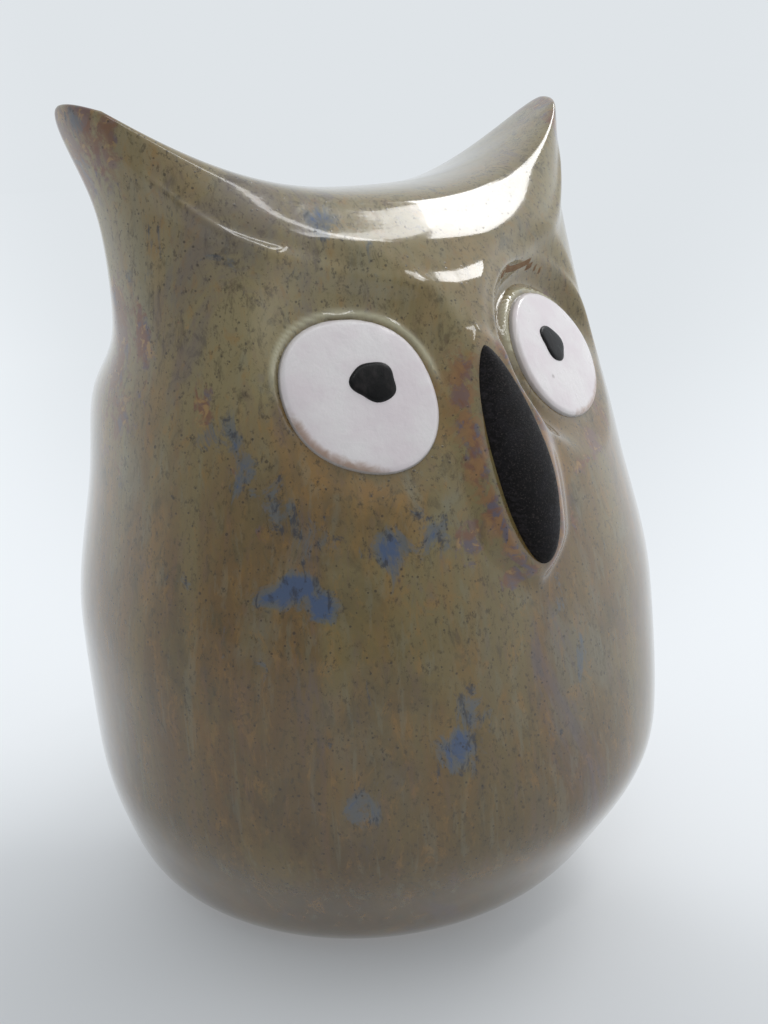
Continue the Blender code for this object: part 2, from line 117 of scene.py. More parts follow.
def monotone(x, xs, ys):
    """A smooth curve through the points (xs, ys) that never swings past them."""
    step = np.diff(xs)
    rise = np.diff(ys) / step
    slope = np.zeros(len(xs))
    bends = rise[:-1] * rise[1:] > 0
    before = 2 * step[1:] + step[:-1]
    after = step[1:] + 2 * step[:-1]
    both = (before + after)[bends]
    slope[1:-1][bends] = both / (before[bends] / rise[:-1][bends] + after[bends] / rise[1:][bends])
    slope[0], slope[-1] = rise[0], rise[-1]
    k = np.clip(np.searchsorted(xs, x, side="right") - 1, 0, len(xs) - 2)
    u = (x - xs[k]) / step[k]
    return ((1 + 2 * u) * (1 - u) ** 2 * ys[k] + u * (1 - u) ** 2 * step[k] * slope[k]
            + u * u * (3 - 2 * u) * ys[k + 1] + u * u * (u - 1) * step[k] * slope[k + 1])


def ring_value(column, height):
    """One column of the ring table at any height, with its bends softened."""
    pitch, margin = 0.25, 32
    count = int(TOP / pitch) + 1
    fine = (np.arange(count + 2 * margin) - margin) * pitch
    values = monotone(np.clip(fine, 0, TOP), RINGS[:, 0], RINGS[:, column])
    first, last = margin, margin + count - 1
    low_slope = (values[first + 1] - values[first]) / pitch
    top_slope = (values[last] - values[last - 1]) / pitch
    values = values + np.minimum(fine, 0) * low_slope + np.maximum(fine - TOP, 0) * top_slope
    reach = np.arange(-24, 25) * pitch
    bell = np.exp(-0.5 * (reach / SOFTEN) ** 2)
    return np.interp(height, fine, np.convolve(values, bell / bell.sum(), mode="same"))


def pot(height, angle):
    """Points of the plain pinched pot. The angle is 0 in front and positive toward +X."""
    height, angle = np.broadcast_arrays(np.asarray(height, float), np.asarray(angle, float))
    half, front, back, middle, lift, front_power, back_power = [
        ring_value(column, height) for column in range(1, 8)
    ]
    into_cap = np.clip((height - CAP_START) / (TOP - CAP_START), 0, 1)
    closing = np.sqrt(1 - into_cap ** 2)
    x = half * np.sin(angle)
    across = np.clip(np.cos(angle) ** 2, 0, 1)
    ahead = -front * closing * across ** front_power
    behind = back * closing * across ** back_power
    y = middle + np.where(np.cos(angle) >= 0, ahead, behind) + EAR_LEAN * lift * (x / EAR_X) ** 2
    z = height + EAR_RISE * lift * np.abs(x / EAR_X) ** EAR_POWER
    return np.stack([x, y, z], -1)


def eye_frame(side):
    """The middle of an eye's bed, and its across, up and outward directions."""
    outward = np.array([side * math.sin(EYE_TURN) * math.cos(EYE_TILT),
                        -math.cos(EYE_TURN) * math.cos(EYE_TILT), math.sin(EYE_TILT)])
    across = np.cross((0.0, 0.0, 1.0), outward)
    across /= np.linalg.norm(across)
    return np.array([side * EYE_X, EYE_Y, EYE_Z]), across, np.cross(outward, across), outward


def lower_of(a, b, blend):
    """The smaller of a and b, with a fillet where they cross."""
    overlap = np.maximum(blend - np.abs(a - b), 0) / blend
    return np.minimum(a, b) - overlap ** 2 * blend / 4


def smooth_step(value):
    value = np.clip(value, 0, 1)
    return value * value * (3 - 2 * value)


def eye_reach(side, turn):
    """How far an eye disc's hand-cut rim is from its middle, at each turn around it."""
    lean = turn + EYE_LEAN
    from_sag = (turn - EYE_SAG_TURN + math.pi) % (2 * math.pi) - math.pi
    uneven = 1 + EYE_OVAL * np.cos(2 * lean) + EYE_SQUARE * np.cos(4 * lean)
    uneven = uneven + EYE_SAG * np.exp(-(from_sag / EYE_SAG_WIDTH) ** 2)
    left_uneven = 1.0 + LEFT_EYE_UNEVEN * np.cos(3 * turn + LEFT_EYE_LEAN)
    return EYE_RADIUS[side] * (uneven if side < 0 else left_uneven)


def press_sockets(points, in_front):
    """Press a flat bed for each eye, with a thin lip over it and, on the left, a channel around it."""
    for side in (-1, 1):
        middle, across, up, outward = eye_frame(side)
        offset = points - middle
        height = offset @ outward
        sideways, upward = offset @ across, offset @ up
        radius = np.hypot(sideways, upward)
        bowl = SOCKET_SLOPE * np.maximum(radius - SOCKET_BED, 0) ** 2
        near = in_front & (radius < SOCKET_REACH) & (height > -SOCKET_DEPTH)
        drop = np.where(near, height - lower_of(height, bowl, SOCKET_BLEND), 0)
        turn = np.arctan2(upward, sideways)
        past_rim = radius - eye_reach(side, turn)
        lip = LIP_RISE * np.exp(-((past_rim - LIP_PLACE) / LIP_WIDTH) ** 2)
        groove = GROOVE_DEPTH * np.exp(-((past_rim - GROOVE_PLACE) / GROOVE_WIDTH) ** 2)
        raised = (lip - groove) * smooth_step((np.sin(turn + LIP_LEAN) + LIP_START) / LIP_FADE)
        if side > 0:
            raised = raised + socket_channel(past_rim, turn)
        raised = np.where(near, raised, 0)
        points = points - (drop - raised)[..., None] * outward
    return points


def socket_channel(past_rim, turn):
    """How far the clay is raised by the left socket's crest, or pressed by its channel."""
    past_start = past_rim - CHANNEL_FROM
    share = np.clip(past_start / CHANNEL_WIDTH, 0, 1)
    channel = CHANNEL_DEPTH * np.sin(math.pi * share ** CHANNEL_POWER) ** 2
    crest = CREST_RISE * np.exp(-((past_start - CHANNEL_WIDTH) / CREST_WIDTH) ** 2)
    over = smooth_step((np.sin(turn - CHANNEL_LEAN) + CHANNEL_START) / CHANNEL_FADE)
    return (crest - channel) * over


def beak_half_width(along):
    """Half width of the almond beak, from 0 at its top to 1 at its lower tip."""
    along = np.clip(along, 0, 1)
    return BEAK_HALF_WIDTH * np.maximum(np.sin(math.pi * along ** BEAK_LOW_SET), 0) ** BEAK_BLUNT


def raise_mound(points, in_front):
    """Raise the clay under the beak, with a soft step around it."""
    length = BEAK_TOP_Z - BEAK_LOW_Z
    along = (BEAK_TOP_Z - points[..., 2]) / length
    inside = MOUND_MARGIN / length
    to_end = np.minimum(along + inside, 1 + inside - along)
    half = beak_half_width((along + inside) / (1 + 2 * inside))
    half = half + MOUND_MARGIN * smooth_step(to_end / (2 * inside))
    rise = MOUND_RISE_TOP + (MOUND_RISE_LOW - MOUND_RISE_TOP) * smooth_step(along)
    inward = half - np.abs(points[..., 0])
    amount = np.where(in_front, rise * smooth_step(inward / MOUND_STEP + 0.5), 0)
    fade_top, fade_low = MOUND_FADE_TOP * inside, MOUND_FADE_LOW * inside
    amount = amount * smooth_step((along + fade_top) / fade_top)
    amount = amount * smooth_step((1 + fade_low - along) / fade_low)
    return points + amount[..., None] * MOUND_DIRECTION


def brow_line(across):
    """Height of the brow's edge, from between the eyes out to the tip of an ear."""
    return monotone(np.abs(across), BROW_ACROSS, BROW_HEIGHT)


def raise_brow(points, in_front):
    """A soft edge along the brow, where the face turns back into the top of the head."""
    past = points[..., 2] - brow_line(points[..., 0])
    amount = BROW_RISE * np.exp(-(past / BROW_WIDTH) ** 2)
    across = np.abs(points[..., 0])
    amount = amount * smooth_step((BROW_END - across) / BROW_END_FADE)
    outer = smooth_step((across - BROW_MIDDLE_FROM) / BROW_MIDDLE_FADE)
    amount = amount * (BROW_MIDDLE_SHARE + (1 - BROW_MIDDLE_SHARE) * outer)
    amount = np.where(in_front, amount, 0)
    return points + amount[..., None] * BROW_DIRECTION


def hand_waves(points):
    """Slow, shallow dents that fingers leave in clay, always inward."""
    x, y, z = points[..., 0], points[..., 1], points[..., 2]
    wave = (np.sin(x / 7.1 + 0.8 * np.sin(z / 11.3) + 1.3) * np.sin(y / 8.7 + z / 19.0 + 0.4)
            + 0.7 * np.sin(z / 6.3 + 0.9 * np.sin(x / 12.1 + 2.0) + y / 23.0))
    return WAVE_DEPTH * (wave / 1.7 - 1) / 2


def owl_skin(height, angle):
    """Points of the owl's whole outer skin, with its sockets, mound, brow and finger dents."""
    points = pot(height, angle)
    in_front = np.broadcast_to(np.cos(angle) > 0, points.shape[:-1])
    points = raise_brow(raise_mound(press_sockets(points, in_front), in_front), in_front)
    outward = points - WAVE_CENTER
    outward /= np.linalg.norm(outward, axis=-1, keepdims=True)
    fade = smooth_step(points[..., 2] / WAVE_FOOT_FADE) * smooth_step((TOP - height) / WAVE_TOP_FADE)
    return points + (hand_waves(points) * fade)[..., None] * outward


# ---------------------------------------------------------------- mesh helpers

def mesh_object(name, points_mm, faces, merge=True):
    mesh = bpy.data.meshes.new(name)
    mesh.from_pydata((np.asarray(points_mm) * MM).tolist(), [], faces)
    work = bmesh.new()
    work.from_mesh(mesh)
    if merge:
        bmesh.ops.remove_doubles(work, verts=work.verts, dist=2e-6)
    bmesh.ops.recalc_face_normals(work, faces=work.faces)
    work.to_mesh(mesh)
    work.free()
    mesh.shade_smooth()
    made = bpy.data.objects.new(name, mesh)
    bpy.context.scene.collection.objects.link(made)
    return made


def grid_faces(rows, columns, start=0):
    """Quads between the rings of a closed tube of points."""
    faces = []
    for row in range(rows - 1):
        low = start + row * columns
        high = low + columns
        for column in range(columns):
            after = (column + 1) % columns
            faces.append((low + column, low + after, high + after, high + column))
    return faces


def set_attribute(mesh, name, values):
    layer = mesh.attributes.get(name) or mesh.attributes.new(name, "FLOAT", "POINT")
    layer.data.foreach_set("value", np.asarray(values, np.float32))


def mesh_points(mesh):
    points = np.zeros(len(mesh.vertices) * 3, np.float32)
    mesh.vertices.foreach_get("co", points)
    return points.reshape(-1, 3).astype(float) / MM


def mesh_normals(mesh):
    normals = np.zeros(len(mesh.vertices) * 3, np.float32)
    mesh.vertices.foreach_get("normal", normals)
    return normals.reshape(-1, 3).astype(float)


def mesh_edges(mesh):
    edges = np.zeros(len(mesh.edges) * 2, np.int32)
    mesh.edges.foreach_get("vertices", edges)
    return edges.reshape(-1, 2)


def spread(values, edges, rounds):
    """Average each point's value with its neighbours', a number of times."""
    count = len(values)
    share = np.bincount(edges.ravel(), minlength=count).astype(float)
    values = values.copy()
    for _ in range(rounds):
        total = (np.bincount(edges[:, 0], weights=values[edges[:, 1]], minlength=count)
                 + np.bincount(edges[:, 1], weights=values[edges[:, 0]], minlength=count))
        values = 0.5 * values + 0.5 * total / np.maximum(share, 1)
    return values


def convexity(mesh, rounds):
    """How far each point stands above the average of its surroundings, in mm."""
    points, edges = mesh_points(mesh), mesh_edges(mesh)
    smooth = np.stack([spread(points[:, axis], edges, rounds) for axis in range(3)], -1)
    return ((points - smooth) * mesh_normals(mesh)).sum(1)


def blobs(points, places):
    """Soft patches of glaze colour at the places given around the pot."""
    total = np.zeros(len(points))
    for turn, height, around, up, strength in places:
        x, y, z = owl_skin(np.array(float(height)), np.radians(turn))
        flat = np.hypot(points[:, 0] - x, points[:, 1] - y) / around
        tall = (points[:, 2] - z) / up
        total = np.maximum(total, strength * np.exp(-flat ** 2 - tall ** 2))
    return total


# ---------------------------------------------------------------- node helpers

def srgb(red, green, blue):
    """A colour given as 0 to 255 display values, as linear light."""
    def linear(value):
        value = value / 255
        return value / 12.92 if value <= 0.04045 else ((value + 0.055) / 1.055) ** 2.4
    return (linear(red), linear(green), linear(blue), 1.0)


class Nodes:
    """A short way to write one material's node tree."""

    def __init__(self, name):
        self.material = bpy.data.materials.new(name)
        self.material.use_nodes = True
        self.tree = self.material.node_tree
        self.shader = self.tree.nodes["Principled BSDF"]
        coordinates = self.tree.nodes.new("ShaderNodeTexCoord")
        self.place = coordinates.outputs["Object"]

    def link(self, value, socket):
        if isinstance(value, bpy.types.NodeSocket):
            self.tree.links.new(value, socket)
        elif value is not None:
            socket.default_value = value

    def stretched(self, x=1.0, y=1.0, z=1.0):
        node = self.tree.nodes.new("ShaderNodeMapping")
        node.inputs["Scale"].default_value = (x, y, z)
        self.tree.links.new(self.place, node.inputs["Vector"])
        return node.outputs["Vector"]

    def noise(self, scale, detail=3.0, rough=0.5, vector=None, warp=0.0):
        node = self.tree.nodes.new("ShaderNodeTexNoise")
        node.inputs["Scale"].default_value = scale
        node.inputs["Detail"].default_value = detail
        node.inputs["Roughness"].default_value = rough
        node.inputs["Distortion"].default_value = warp
        self.tree.links.new(vector or self.place, node.inputs["Vector"])
        return node.outputs["Fac"]

    def cells(self, scale):
        """Distance to the nearest cell point, in cell sizes, and two random values for each cell."""
        node = self.tree.nodes.new("ShaderNodeTexVoronoi")
        node.inputs["Scale"].default_value = scale
        self.tree.links.new(self.place, node.inputs["Vector"])
        parts = self.tree.nodes.new("ShaderNodeSeparateColor")
        self.tree.links.new(node.outputs["Color"], parts.inputs["Color"])
        return node.outputs["Distance"], parts.outputs["Red"], parts.outputs["Green"]

    def attribute(self, name):
        node = self.tree.nodes.new("ShaderNodeAttribute")
        node.attribute_name = name
        return node.outputs["Fac"]

    def math(self, operation, a, b=None, c=None):
        node = self.tree.nodes.new("ShaderNodeMath")
        node.operation = operation
        for value, socket in zip((a, b, c), node.inputs):
            self.link(value, socket)
        return node.outputs["Value"]

    def ramp(self, value, low, high, to_low=0.0, to_high=1.0, smooth=True):
        """Map value from low..high onto to_low..to_high, clamped."""
        node = self.tree.nodes.new("ShaderNodeMapRange")
        node.interpolation_type = "SMOOTHSTEP" if smooth else "LINEAR"
        self.link(value, node.inputs["Value"])
        limits = {"From Min": low, "From Max": high, "To Min": to_low, "To Max": to_high}
        for word, limit in limits.items():
            self.link(limit, node.inputs[word])
        return node.outputs["Result"]

    def mix(self, share, first, second):
        node = self.tree.nodes.new("ShaderNodeMix")
        node.data_type = "RGBA"
        node.clamp_factor = True
        self.link(share, node.inputs[0])
        self.link(first, node.inputs[6])
        self.link(second, node.inputs[7])
        return node.outputs[2]

    def bump(self, height, distance, strength=1.0, under=None):
        node = self.tree.nodes.new("ShaderNodeBump")
        node.inputs["Strength"].default_value = strength
        node.inputs["Distance"].default_value = distance
        self.link(height, node.inputs["Height"])
        if under is not None:
            self.tree.links.new(under, node.inputs["Normal"])
        return node.outputs["Normal"]

    def height(self):
        parts = self.tree.nodes.new("ShaderNodeSeparateXYZ")
        self.tree.links.new(self.place, parts.inputs["Vector"])
        return parts.outputs["Z"]

    def finish(self, color, roughness, normal=None, **sockets):
        self.link(color, self.shader.inputs["Base Color"])
        self.link(roughness, self.shader.inputs["Roughness"])
        if normal is not None:
            self.tree.links.new(normal, self.shader.inputs["Normal"])
        for name, value in sockets.items():
            self.shader.inputs[name.replace("_", " ")].default_value = value
        return self.material


# ---------------------------------------------------------------- materials

# Glaze colours, as display values
OLIVE = (131, 117, 76)
BROWN = (118, 92, 54)
OCHRE = (150, 111, 52)
YELLOW_OLIVE = (122, 104, 56)
GREY_GREEN = (128, 127, 108)
DARK_OLIVE = (88, 76, 48)
# Painted light: a paler olive for the upper body and head
TOP_LIGHT_OLIVE = (153, 139, 102)
# Painted shade: a darker brown towards the foot
FOOT_SHADE_BROWN = (90, 64, 24)
RUST_PURPLE = (118, 90, 82)
RUST = (122, 82, 60)
GOLD = (170, 134, 82)
AMBER = (140, 102, 62)
VIOLET = (96, 86, 98)
SLATE = (94, 100, 104)
COBALT = (64, 86, 122)
INK = (46, 48, 58)
FLECK = (66, 54, 34)
SPECK = (40, 30, 22)
# Painted highlight on the lip over each eye disc
LIP_HIGHLIGHT = (204, 198, 168)
SLIP_WHITE = (240, 234, 233)
SLIP_LILAC = (233, 222, 224)
# Painted shade on the rolled-down edge of each eye disc
RIM_SHADE_GREY = (172, 168, 166)
BLEED = (158, 118, 84)

# Iron specks: cells per metre, least and most size in cells, and the share of cells that have one
SPECK_SIZES = ((1150.0, 0.09, 0.20, 0.45), (560.0, 0.04, 0.12, 0.24), (230.0, 0.02, 0.06, 0.08),
               (60.0, 0.02, 0.045, 0.08))

# Glaze patches: turn around the pot in degrees (0 in front, positive toward the owl's left), height
# on the pot, reach around and up in mm, and strength
BLUE_PLACES = (
    # the arc on the right breast
    (-48, 60, 3.4, 1.8, 1.0), (-44, 61, 3.6, 1.8, 1.15), (-40, 59, 2.8, 2.2, 1.15),
    # the slanting patch on the belly, and the dark spot beside it
    (-17, 44, 3.0, 4.0, 0.9), (-20, 39, 2.8, 3.5, 1.0), (-38, 32, 3.5, 3.5, 0.75),
    # specks below the beak
    (4, 54, 2.0, 5.0, 0.6), (8, 47, 3.0, 5.0, 0.5),
    # the mottled band around the foot of the right eye's socket
    (-56, 79, 5.0, 4.0, 0.55), (-52, 74, 3.5, 4.5, 0.62), (-47, 69, 3.0, 4.0, 0.62),
    (-38, 66, 5.0, 3.5, 0.64), (-29, 65, 5.0, 3.2, 0.66), (-20, 66, 4.0, 3.2, 0.62),
    # the brow and the right ear
    (-22, 103, 4.0, 2.5, 0.8), (-76, 104, 3.5, 3.0, 0.65), (-70, 97, 3.0, 5.0, 0.42),
    # the side and back that aren't seen, in the same hand
    (-108, 44, 4.0, 5.0, 0.7), (72, 40, 3.5, 5.0, 0.6), (98, 62, 4.0, 4.0, 0.75),
    (142, 52, 4.5, 3.0, 0.85), (-150, 38, 5.0, 3.5, 0.8), (175, 60, 6.0, 2.5, 0.6),
)
RUST_PLACES = (
    # the right side ridge, up to its ear
    (-80, 90, 3.0, 8.0, 0.7), (-80, 101, 3.0, 6.0, 0.65), (-76, 105, 3.0, 4.0, 0.7),
    (-68, 93, 3.5, 6.0, 0.42),
    # the outer edge of the right eye's socket
    (-60, 83, 1.8, 6.0, 0.66), (-54, 75, 2.0, 5.5, 0.6), (-50, 69, 1.8, 4.0, 0.5),
    # beside the beak
    (-10, 74, 1.6, 6.0, 0.85), (-13, 64, 2.5, 4.0, 0.8), (-6, 59, 2.6, 2.6, 0.8),
    (12, 64, 1.8, 5.0, 0.6),
    # around the left eye, and the left ear's tip
    (18, 69, 3.4, 2.5, 0.7), (27, 71, 3.5, 3.5, 0.85), (36, 75, 3.0, 4.5, 0.72),
    (46, 79, 2.4, 4.0, 0.55), (56, 87, 2.2, 5.0, 0.6), (40, 92, 4.0, 2.4, 0.55),
    (62, 104, 4.0, 4.5, 0.9), (78, 103, 3.4, 5.0, 0.8), (90, 86, 2.8, 9.0, 0.7),
)


def glaze_material():
    """Olive-brown stoneware glaze: vertical runs, iron specks, cobalt patches, rust where it breaks."""
    n = Nodes("olive_glaze")
    tall = n.stretched(1.0, 1.0, 0.20)
    runs = n.noise(170.0, 5.0, 0.6, tall, 0.5)
    wide_runs = n.noise(46.0, 4.0, 0.55, tall, 0.9)
    clouds = n.noise(55.0, 5.0, 0.62, None, 0.4)
    color = n.mix(n.ramp(wide_runs, 0.40, 0.60), srgb(*OLIVE), srgb(*BROWN))
    color = n.mix(n.ramp(runs, 0.50, 0.66, 0.0, 0.6), color, srgb(*OCHRE))
    cool = n.noise(90.0, 5.0, 0.62, n.stretched(1.0, 1.0, 0.28), 0.7)
    color = n.mix(n.ramp(cool, 0.50, 0.66, 0.0, 0.65), color, srgb(*GREY_GREEN))
    color = n.mix(n.ramp(clouds, 0.50, 0.68, 0.0, 0.6), color, srgb(*DARK_OLIVE))
    # Painted light: the glaze paler towards the top of the head
    high = n.ramp(n.height(), 0.066, 0.098, 0.0, 0.6)
    color = n.mix(high, color, srgb(*TOP_LIGHT_OLIVE))
    # Painted shade: the glaze darker brown towards the foot
    low = n.ramp(n.height(), 0.004, 0.085, 0.8, 0.0)
    color = n.mix(low, color, srgb(*FOOT_SHADE_BROWN))
    mottled = n.noise(400.0, 6.0, 0.75, n.stretched(1.0, 1.0, 0.45), 0.6)
    color = n.mix(n.ramp(mottled, 0.52, 0.66, 0.0, 0.7), color, srgb(*DARK_OLIVE))
    color = n.mix(n.ramp(mottled, 0.47, 0.34, 0.0, 0.45), color, srgb(*OCHRE))
    threads = n.noise(620.0, 4.0, 0.6, n.stretched(1.0, 1.0, 0.09), 0.3)
    color = n.mix(n.ramp(threads, 0.53, 0.68, 0.0, 0.28), color, srgb(*GREY_GREEN))
    color = n.mix(n.ramp(threads, 0.46, 0.34, 0.0, 0.18), color, srgb(*RUST_PURPLE))
    fleck = n.noise(1500.0, 5.0, 0.75, n.stretched(1.0, 1.0, 0.7))
    color = n.mix(n.ramp(fleck, 0.54, 0.64, 0.0, 0.65), color, srgb(*FLECK))
    haze = n.noise(75.0, 6.0, 0.7, n.stretched(1.0, 1.0, 0.32), 0.9)
    color = n.mix(n.ramp(haze, 0.53, 0.68, 0.0, 0.45), color, srgb(*VIOLET))
    color = n.mix(n.ramp(haze, 0.46, 0.34, 0.0, 0.40), color, srgb(*YELLOW_OLIVE))

    # Glaze runs thin on ridges and shows rust, purple and gold
    ragged = n.ramp(n.noise(330.0, 6.0, 0.68, n.stretched(1.0, 1.0, 0.75), 0.6), 0.3, 0.7, smooth=False)
    gold = n.ramp(n.noise(520.0, 4.0, 0.65, None, 0.5), 0.3, 0.7, smooth=False)
    hue = n.noise(150.0, 4.0, 0.6, None, 0.8)
    worn = n.mix(n.ramp(hue, 0.42, 0.50), srgb(*RUST_PURPLE), srgb(*RUST))
    worn = n.mix(n.ramp(hue, 0.52, 0.60), worn, srgb(*VIOLET))
    worn = n.mix(n.ramp(gold, 0.60, 0.85, 0.0, 0.8), worn, srgb(*GOLD))
    for mask, gain, most in (("ridge", 0.75, 0.8), ("rust", 0.9, 0.85), ("mound", 0.8, 0.95)):
        thin = n.math("MULTIPLY_ADD", n.math("SUBTRACT", ragged, 0.5), gain, n.attribute(mask))
        color = n.mix(n.ramp(thin, 0.45, 0.75, 0.0, most), color, worn)
    golden = n.math("MULTIPLY", n.attribute("mound"), n.ramp(gold, 0.42, 0.62))
    color = n.mix(n.math("MULTIPLY", golden, 1.15), color, srgb(*AMBER))

    # Cobalt that has bled into the glaze, in ragged patches
    torn = n.ramp(n.noise(190.0, 7.0, 0.72, n.stretched(1.0, 1.0, 0.55), 1.0), 0.3, 0.7, smooth=False)
    bled = n.math("MULTIPLY_ADD", n.math("SUBTRACT", torn, 0.5), 1.15, n.attribute("blue"))
    color = n.mix(n.ramp(bled, 0.38, 0.66, 0.0, 0.75), color, srgb(*SLATE))
    color = n.mix(n.ramp(bled, 0.66, 0.98, 0.0, 0.85), color, srgb(*COBALT))
    broken = n.ramp(n.noise(620.0, 4.0, 0.7, n.stretched(1.0, 1.0, 0.5), 0.5), 0.52, 0.64)
    inky = n.math("MULTIPLY", n.ramp(bled, 0.28, 0.5), broken)
    color = n.mix(n.math("MULTIPLY", inky, 0.75), color, srgb(*INK))

    # Iron specks, many fine ones and a few large ones
    wobble = n.noise(2600.0, 2.0, 0.5)
    specks = None
    for scale, least, most, present in SPECK_SIZES:
        distance, random, sizes = n.cells(scale)
        size = n.ramp(sizes, 0.0, 1.0, least, most, smooth=False)
        edge = n.math("MULTIPLY_ADD", n.math("SUBTRACT", wobble, 0.5), 0.12, distance)
        dot = n.math("SUBTRACT", 1.0, n.ramp(n.math("DIVIDE", edge, size), 0.7, 1.3))
        dot = n.math("MULTIPLY", dot, n.math("LESS_THAN", random, present))
        specks = dot if specks is None else n.math("MAXIMUM", specks, dot)
    color = n.mix(n.math("MULTIPLY", specks, 0.65), color, srgb(*SPECK))

    # Painted highlight: a pale arc where the lip over each eye disc catches the light, on its upper side
    # only
    color = n.mix(n.math("MULTIPLY", n.attribute("lip_highlight"), 0.8), color, srgb(*LIP_HIGHLIGHT))

    dimples = n.noise(150.0, 3.0, 0.45)
    pores = n.noise(1500.0, 2.0, 0.5)
    normal = n.bump(dimples, 0.00016, 0.5)
    normal = n.bump(pores, 0.00002, 0.3, normal)
    normal = n.bump(specks, 0.00005, 0.3, normal)
    roughness = n.math("MULTIPLY_ADD", specks, 0.12, n.ramp(clouds, 0.3, 0.7, 0.08, 0.14))
    return n.finish(color, roughness, normal, IOR=1.56, Coat_Weight=0.6, Coat_Roughness=0.03)


def clay_material():
    """Bare stoneware on the foot and inside: buff, sandy and matte, with iron specks."""
    n = Nodes("bare_clay")
    body = n.noise(60.0, 4.0, 0.6)
    grain = n.noise(1400.0, 4.0, 0.7)
    color = n.mix(n.ramp(body, 0.35, 0.65), srgb(150, 122, 92), srgb(128, 98, 72))
    color = n.mix(n.ramp(grain, 0.5, 0.75, 0.0, 0.5), color, srgb(176, 152, 122))
    distance, random, sizes = n.cells(480.0)
    dot = n.math("LESS_THAN", distance, n.ramp(sizes, 0.0, 1.0, 0.05, 0.2, smooth=False))
    dot = n.math("MULTIPLY", dot, n.math("LESS_THAN", random, 0.4))
    color = n.mix(n.math("MULTIPLY", dot, 0.8), color, srgb(62, 44, 32))
    normal = n.bump(grain, 0.00012, 0.8)
    return n.finish(color, 0.82, normal, IOR=1.45)


def slip_white_material():
    """Satin white slip with a faint lilac cast, pinholes, glaze bled over its rim, and painted shade
    greying its edge.
    """
    n = Nodes("white_slip")
    clouds = n.noise(170.0, 4.0, 0.55)
    color = n.mix(n.ramp(clouds, 0.35, 0.68), srgb(*SLIP_WHITE), srgb(*SLIP_LILAC))
    ragged = n.noise(520.0, 4.0, 0.65, None, 0.6)
    bleed = n.math("ADD", n.attribute("bleed"), n.math("MULTIPLY", n.math("SUBTRACT", ragged, 0.5), 0.7))
    color = n.mix(n.ramp(bleed, 0.42, 1.0, 0.0, 0.8), color, srgb(*BLEED))
    # Painted shade: the disc's edge greyed where it rolls down to the clay
    rim = n.attribute("rim")
    color = n.mix(n.ramp(rim, 0.35, 1.0, 0.0, 0.85), color, srgb(*RIM_SHADE_GREY))
    distance, random, sizes = n.cells(520.0)
    pit = n.math("SUBTRACT", 1.0, n.ramp(distance, 0.05, 0.22))
    pit = n.math("MULTIPLY", pit, n.math("LESS_THAN", random, 0.10))
    color = n.mix(n.math("MULTIPLY", pit, 0.45), color, srgb(120, 104, 96))
    soft = n.noise(300.0, 4.0, 0.55)
    normal = n.bump(soft, 0.00026, 0.6)
    normal = n.bump(n.math("SUBTRACT", 1.0, pit), 0.00010, 0.6, normal)
    roughness = n.ramp(clouds, 0.3, 0.7, 0.24, 0.36)
    return n.finish(color, roughness, normal, IOR=1.5, Coat_Weight=0.5, Coat_Roughness=0.12)


def black_slip_material():
    """The pupils' thick black slip, satin, with dusty brush marks."""
    n = Nodes("black_slip")
    strokes = n.noise(900.0, 4.0, 0.6, n.stretched(1.0, 1.0, 0.45))
    color = n.mix(n.ramp(strokes, 0.45, 0.75), srgb(9, 8, 8), srgb(36, 31, 31))
    normal = n.bump(strokes, 0.00008, 0.7)
    roughness = n.ramp(strokes, 0.3, 0.7, 0.26, 0.42)
    return n.finish(color, roughness, normal, IOR=1.34)


def beak_material():
    """Rough black clay: combed fine ridges, sandy grain and paler dry edges."""
    n = Nodes("black_clay")
    comb = n.noise(2300.0, 5.0, 0.7, n.stretched(0.45, 0.45, 1.0), 0.5)
    grain = n.noise(4200.0, 3.0, 0.65)
    patches = n.noise(260.0, 3.0, 0.5)
    color = n.mix(n.ramp(comb, 0.42, 0.78), srgb(9, 7, 8), srgb(32, 28, 29))
    color = n.mix(n.ramp(grain, 0.52, 0.70, 0.0, 0.5), color, srgb(78, 70, 68))
    color = n.mix(n.ramp(patches, 0.5, 0.75, 0.0, 0.35), color, srgb(38, 36, 42))
    dry = n.math("MULTIPLY", n.attribute("rim"), n.ramp(comb, 0.45, 0.65))
    color = n.mix(n.math("MULTIPLY", dry, 0.3), color, srgb(62, 59, 64))
    normal = n.bump(comb, 0.00012, 0.8)
    normal = n.bump(patches, 0.00010, 0.4, normal)
    normal = n.bump(grain, 0.00005, 0.8, normal)
    roughness = n.ramp(comb, 0.3, 0.7, 0.45, 0.7)
    return n.finish(color, roughness, normal, IOR=1.27)


def rubber_material():
    """Moulded black rubber, with a fine matte grain and rubbed, dusty edges."""
    n = Nodes("black_rubber")
    grain = n.noise(2400.0, 3.0, 0.6)
    dust = n.noise(90.0, 4.0, 0.6)
    color = n.mix(n.ramp(dust, 0.45, 0.75, 0.0, 0.6), srgb(30, 30, 31), srgb(58, 56, 54))
    color = n.mix(n.math("MULTIPLY", n.attribute("ridge"), 0.35), color, srgb(92, 90, 86))
    normal = n.bump(grain, 0.00005, 0.6)
    roughness = n.ramp(dust, 0.3, 0.7, 0.52, 0.68)
    return n.finish(color, roughness, normal, IOR=1.5)


# ---------------------------------------------------------------- pieces

def even_rows():
    """Ring heights: dense over the face and the ears, where the clay has its detail."""
    return np.concatenate([
        np.linspace(0.0, 4.0, 9, endpoint=False),
        np.linspace(4.0, 58.0, 62, endpoint=False),
        np.linspace(58.0, 99.0, 92, endpoint=False),
        np.linspace(99.0, 106.0, 44, endpoint=False),
        TOP - 1.5 * (np.linspace(1.0, 0.0, 14)) ** 2,
    ])


